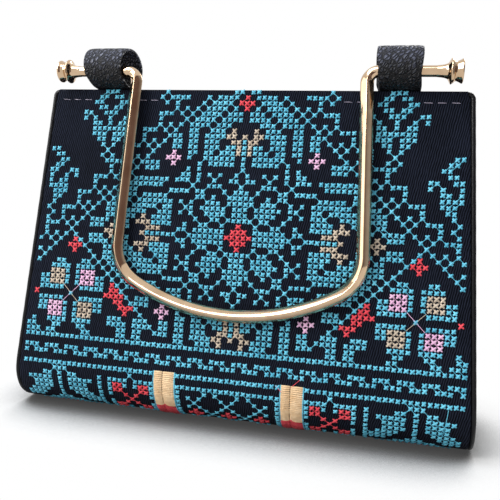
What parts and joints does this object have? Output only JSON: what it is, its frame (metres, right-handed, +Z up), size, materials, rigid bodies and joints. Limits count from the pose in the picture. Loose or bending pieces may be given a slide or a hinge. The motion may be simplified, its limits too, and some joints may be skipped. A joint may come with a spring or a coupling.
{
  "type": "handbag",
  "caption": "Dark fabric handbag with teal cross-stitch embroidery, leather loops and a bent gold bar handle that swings.",
  "frame": {"origin": "centre of the base on the floor", "axes": "+X along the bag to the viewer's right, +Y from the embroidered front to the back, +Z up"},
  "size_m": [0.2502, 0.0747, 0.2023],
  "materials": {
    "shell_fabric": "matt dark navy cotton twill",
    "lining": "plain dark lining cloth",
    "piping": "smooth dark covered cord",
    "leather": "pebbled dark navy leather, satin",
    "gold_metal": "polished pale gold anodised metal",
    "hem_thread": "grey sewing thread",
    "teal_thread": "mercerised cotton thread",
    "red_thread": "mercerised cotton thread",
    "cream_thread": "mercerised cotton thread",
    "lilac_thread": "mercerised cotton thread",
    "tan_thread": "satin-stitched cotton thread"
  },
  "bodies": {
    "bag": {"shell": "shell_fabric", "left_gusset": "shell_fabric", "right_gusset": "shell_fabric", "left_piping": "piping", "right_piping": "piping", "lining": "lining", "hem_stitching": "hem_thread", "snap_socket": "gold_metal", "snap_stud": "gold_metal", "left_loop": "leather", "right_loop": "leather", "teal_stitches": "teal_thread", "red_stitches": "red_thread", "cream_stitches": "cream_thread", "lilac_stitches": "lilac_thread", "tan_bars": "tan_thread", "tan_bar_tips": "red_thread"},
    "handle": {"handle_bar": "gold_metal", "left_knob": "gold_metal", "right_knob": "gold_metal"}
  },
  "joints": [
    {"name": "handle_swing", "type": "hinge", "parent": "bag", "child": "handle", "pos_m": [0, -0.01478, 0.18895], "axis": [-1, 0, 0], "range_deg": [0, 265]}
  ]
}
